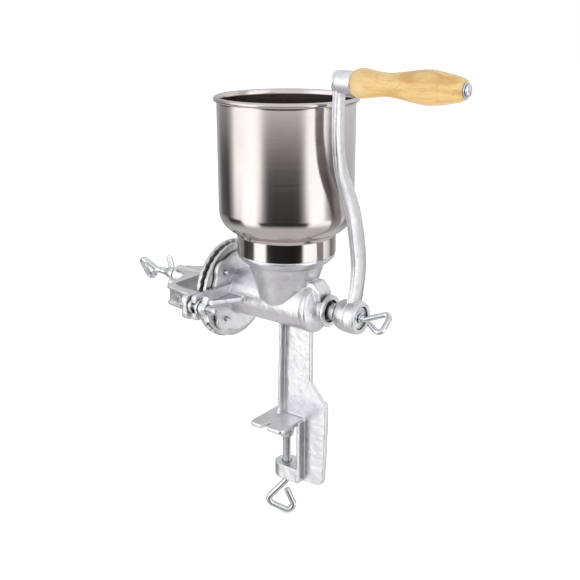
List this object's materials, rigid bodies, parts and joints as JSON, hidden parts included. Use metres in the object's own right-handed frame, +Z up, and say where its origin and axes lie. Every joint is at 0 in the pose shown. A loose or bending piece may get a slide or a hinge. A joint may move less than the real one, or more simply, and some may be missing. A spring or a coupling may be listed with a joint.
{
  "type": "hand crank grain mill",
  "caption": "Clamp-on hand-crank grain mill: round steel hopper on a cast body with an auger, grinding burrs, a screw-adjusted bridge, an S-shaped crank and a wooden grip.",
  "frame": {"origin": "middle of the upper jaw's underside, where the table top's upper face rests, on the hopper's axis", "axes": "+Z up along the hopper, +X along the shaft from the burrs to the crank, -Y towards the side that the crank leans to"},
  "size_m": [0.3906, 0.149, 0.4618],
  "materials": {
    "tinned_iron": "hot-tinned casting, bright with a fine cast grain",
    "hopper_steel": "satin stainless sheet, polished at the collar and rim",
    "zinc_steel": "bright zinc plating",
    "burr_iron": "bare hardened casting",
    "wood": "varnished pale hardwood"
  },
  "bodies": {
    "frame": {"body_casting": "tinned_iron", "fixed_burr": "burr_iron", "fixed_burr_screw_1": "zinc_steel", "fixed_burr_screw_2": "zinc_steel", "fixed_burr_screw_3": "zinc_steel", "fixed_burr_screw_4": "zinc_steel", "bridge": "tinned_iron", "bridge_stud_near": "zinc_steel", "bridge_stud_far": "zinc_steel"},
    "thrust": {"thrust_button": "zinc_steel"},
    "adjusting_screw": {"adjusting_screw": "zinc_steel"},
    "lock_nut": {"lock_wing_nut": "tinned_iron"},
    "crankshaft": {"auger": "tinned_iron", "drive_pin": "zinc_steel", "burr_carrier": "burr_iron", "carrier_screw_1": "zinc_steel", "carrier_screw_2": "zinc_steel", "rotating_burr": "burr_iron", "crank_arm": "tinned_iron", "handle_rivet": "zinc_steel", "handle_washer": "zinc_steel"},
    "grip": {"handle_grip": "wood"},
    "crank_washer": {"crank_washer": "zinc_steel"},
    "crank_screw": {"crank_screw": "zinc_steel"},
    "stud_washer_near": {"stud_washer_near": "zinc_steel"},
    "stud_nut_near": {"stud_wing_nut_near": "tinned_iron"},
    "stud_washer_far": {"stud_washer_far": "zinc_steel"},
    "stud_nut_far": {"stud_wing_nut_far": "tinned_iron"},
    "clamp_pad": {"clamp_pad": "tinned_iron"},
    "clamp_screw": {"clamp_screw": "zinc_steel"},
    "hopper": {"hopper": "hopper_steel"}
  },
  "joints": [
    {"name": "burr_gap", "type": "slide", "parent": "frame", "child": "thrust", "axis": [1, 0, 0], "range_m": [0, 0.002]},
    {"name": "adjust_turn", "type": "hinge", "parent": "thrust", "child": "adjusting_screw", "pos_m": [-0.12, 0, 0.122], "axis": [1, 0, 0], "range_deg": [0, 576]},
    {"name": "lock_nut_turn", "type": "hinge", "parent": "adjusting_screw", "child": "lock_nut", "pos_m": [-0.152, 0, 0.122], "axis": [1, 0, 0], "range_deg": [0, 1008]},
    {"name": "crank_turn", "type": "hinge", "parent": "thrust", "child": "crankshaft", "pos_m": [0, 0, 0.122], "axis": [1, 0, 0], "continuous": true},
    {"name": "grip_spin", "type": "hinge", "parent": "crankshaft", "child": "grip", "pos_m": [0.14, -0.02703, 0.336], "axis": [1, 0, 0], "continuous": true},
    {"name": "crank_washer_slide", "type": "slide", "parent": "crankshaft", "child": "crank_washer", "axis": [1, 0, 0], "range_m": [0, 0.012]},
    {"name": "crank_screw_turn", "type": "hinge", "parent": "crank_washer", "child": "crank_screw", "pos_m": [0.09, 0, 0.122], "axis": [1, 0, 0], "range_deg": [0, 4320]},
    {"name": "washer_slide_near", "type": "slide", "parent": "frame", "child": "stud_washer_near", "axis": [1, 0, 0], "range_m": [0, 0.006]},
    {"name": "nut_turn_near", "type": "hinge", "parent": "stud_washer_near", "child": "stud_nut_near", "pos_m": [-0.047, -0.066, 0.122], "axis": [1, 0, 0], "range_deg": [0, 1728]},
    {"name": "washer_slide_far", "type": "slide", "parent": "frame", "child": "stud_washer_far", "axis": [1, 0, 0], "range_m": [0, 0.006]},
    {"name": "nut_turn_far", "type": "hinge", "parent": "stud_washer_far", "child": "stud_nut_far", "pos_m": [-0.047, 0.066, 0.122], "axis": [1, 0, 0], "range_deg": [0, 1728]},
    {"name": "clamp_travel", "type": "slide", "parent": "frame", "child": "clamp_pad", "axis": [0, 0, 1], "range_m": [-0.028, 0.004]},
    {"name": "clamp_screw_turn", "type": "hinge", "parent": "clamp_pad", "child": "clamp_screw", "pos_m": [0, 0, -0.04], "axis": [0, 0, 1], "range_deg": [-8064, 1152]},
    {"name": "hopper_lift", "type": "slide", "parent": "frame", "child": "hopper", "axis": [0, 0, 1], "range_m": [0, 0.03]}
  ],
  "couplings": [
    {"joint": "adjust_turn", "follows": "burr_gap", "rad_per_m": 5026.5},
    {"joint": "crank_washer_slide", "follows": "crank_screw_turn", "m_per_rad": 0.00015915},
    {"joint": "washer_slide_near", "follows": "nut_turn_near", "m_per_rad": 0.00019894},
    {"joint": "washer_slide_far", "follows": "nut_turn_far", "m_per_rad": 0.00019894},
    {"joint": "clamp_screw_turn", "follows": "clamp_travel", "rad_per_m": 5026.5}
  ]
}
